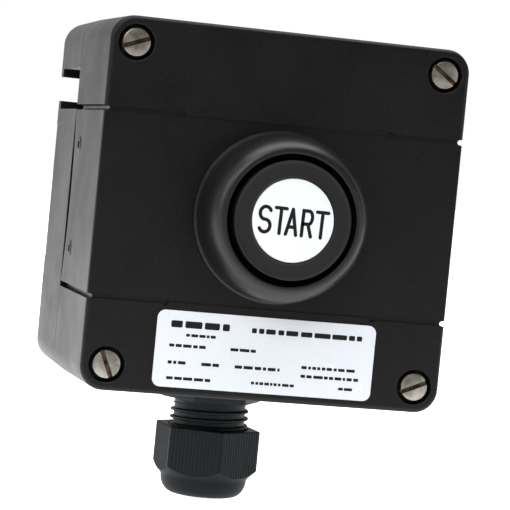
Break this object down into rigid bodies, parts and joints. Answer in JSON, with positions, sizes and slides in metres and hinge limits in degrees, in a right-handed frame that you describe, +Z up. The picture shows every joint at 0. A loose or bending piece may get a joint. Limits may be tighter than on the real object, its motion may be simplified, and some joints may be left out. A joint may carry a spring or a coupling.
{
  "type": "industrial push button station",
  "caption": "Square wall-mounted enclosure with a guarded flush start push button, corner cover screws, blank rating plate and a bottom cable gland.",
  "frame": {"origin": "centre of the rear mounting face, on the wall plane", "axes": "+Z up, front face towards -Y, +X to the right of a person who faces the button; the wall is at Y = 0"},
  "size_m": [0.0932, 0.0897, 0.1243],
  "materials": {
    "enclosure_black": "fine-grained moulded black",
    "button_black": "satin moulded black",
    "gland_grey": "satin dark grey polyamide",
    "rubber_black": "matte elastomer",
    "steel": "satin, turned",
    "brass": "machined",
    "contact_silver": "silver plated",
    "label_white": "printed film, satin",
    "disc_white": "satin white insert",
    "block_grey": "moulded grey",
    "plunger_cream": "moulded cream"
  },
  "bodies": {
    "rear_housing": {"rear_housing": "enclosure_black", "cover_gasket": "rubber_black", "threaded_insert_top_left": "brass", "threaded_insert_top_right": "brass", "threaded_insert_bottom_left": "brass", "threaded_insert_bottom_right": "brass", "earth_terminal_plate": "brass", "earth_clamp_washer": "steel", "earth_terminal_screw": "steel", "gland_body": "gland_grey", "gland_flange_seal": "rubber_black", "gland_lock_nut": "gland_grey", "gland_seal": "rubber_black"},
    "front_cover": {"front_cover": "enclosure_black", "rating_label": "label_white", "button_collar": "button_black", "collar_gasket": "rubber_black", "collar_lock_nut": "gland_grey", "sealing_boot": "rubber_black", "return_spring": "steel", "screw_seal_top_left": "rubber_black", "screw_seal_top_right": "rubber_black", "screw_seal_bottom_left": "rubber_black", "screw_seal_bottom_right": "rubber_black", "contact_block_adapter": "gland_grey", "contact_block_housing": "block_grey", "contact_block_cover": "block_grey", "contact_spring": "steel", "fixed_contact_no_upper": "brass", "fixed_contact_no_lower": "brass", "fixed_contact_nc_upper": "brass", "fixed_contact_nc_lower": "brass", "terminal_screw_no_upper": "steel", "terminal_screw_no_lower": "steel", "terminal_screw_nc_upper": "steel", "terminal_screw_nc_lower": "steel"},
    "button": {"button_cap": "button_black", "legend_disc": "disc_white", "button_stem": "gland_grey"},
    "contact_plunger": {"contact_plunger": "plunger_cream", "bridge_normally_open": "contact_silver", "bridge_normally_closed": "contact_silver"},
    "gland_thrust_ring": {"gland_thrust_ring": "gland_grey"},
    "gland_nut": {"gland_nut": "gland_grey"},
    "cover_screw_top_left": {"cover_screw_top_left": "steel"},
    "cover_screw_top_right": {"cover_screw_top_right": "steel"},
    "cover_screw_bottom_left": {"cover_screw_bottom_left": "steel"},
    "cover_screw_bottom_right": {"cover_screw_bottom_right": "steel"}
  },
  "joints": [
    {"name": "cover_removal", "type": "slide", "parent": "rear_housing", "child": "front_cover", "axis": [0, -1, 0], "range_m": [0, 0.06]},
    {"name": "button_press", "type": "slide", "parent": "front_cover", "child": "button", "axis": [0, 1, 0], "range_m": [0, 0.004], "stiffness_N_per_m": 1000, "springref_m": -0.003, "deforming": ["return_spring", "sealing_boot"]},
    {"name": "contact_plunger_travel", "type": "slide", "parent": "front_cover", "child": "contact_plunger", "axis": [0, 1, 0], "range_m": [0, 0.004], "deforming": ["contact_spring"]},
    {"name": "gland_ring_slide", "type": "slide", "parent": "rear_housing", "child": "gland_thrust_ring", "axis": [0, 0, 1], "range_m": [0, 0.0042], "deforming": ["gland_seal"]},
    {"name": "gland_nut_turn", "type": "hinge", "parent": "gland_thrust_ring", "child": "gland_nut", "pos_m": [0, -0.01875, -0.0695], "axis": [0, 0, 1], "range_deg": [0, 720]},
    {"name": "cover_screw_turn_top_left", "type": "hinge", "parent": "front_cover", "child": "cover_screw_top_left", "pos_m": [-0.0395, -0.0729, 0.0395], "axis": [0, -1, 0], "continuous": true},
    {"name": "cover_screw_turn_top_right", "type": "hinge", "parent": "front_cover", "child": "cover_screw_top_right", "pos_m": [0.0395, -0.0729, 0.0395], "axis": [0, -1, 0], "continuous": true},
    {"name": "cover_screw_turn_bottom_left", "type": "hinge", "parent": "front_cover", "child": "cover_screw_bottom_left", "pos_m": [-0.0395, -0.0729, -0.0395], "axis": [0, -1, 0], "continuous": true},
    {"name": "cover_screw_turn_bottom_right", "type": "hinge", "parent": "front_cover", "child": "cover_screw_bottom_right", "pos_m": [0.0395, -0.0729, -0.0395], "axis": [0, -1, 0], "continuous": true}
  ],
  "couplings": [
    {"joint": "contact_plunger_travel", "follows": "button_press", "ratio": 1},
    {"joint": "gland_nut_turn", "follows": "gland_ring_slide", "rad_per_m": 2991.7}
  ]
}
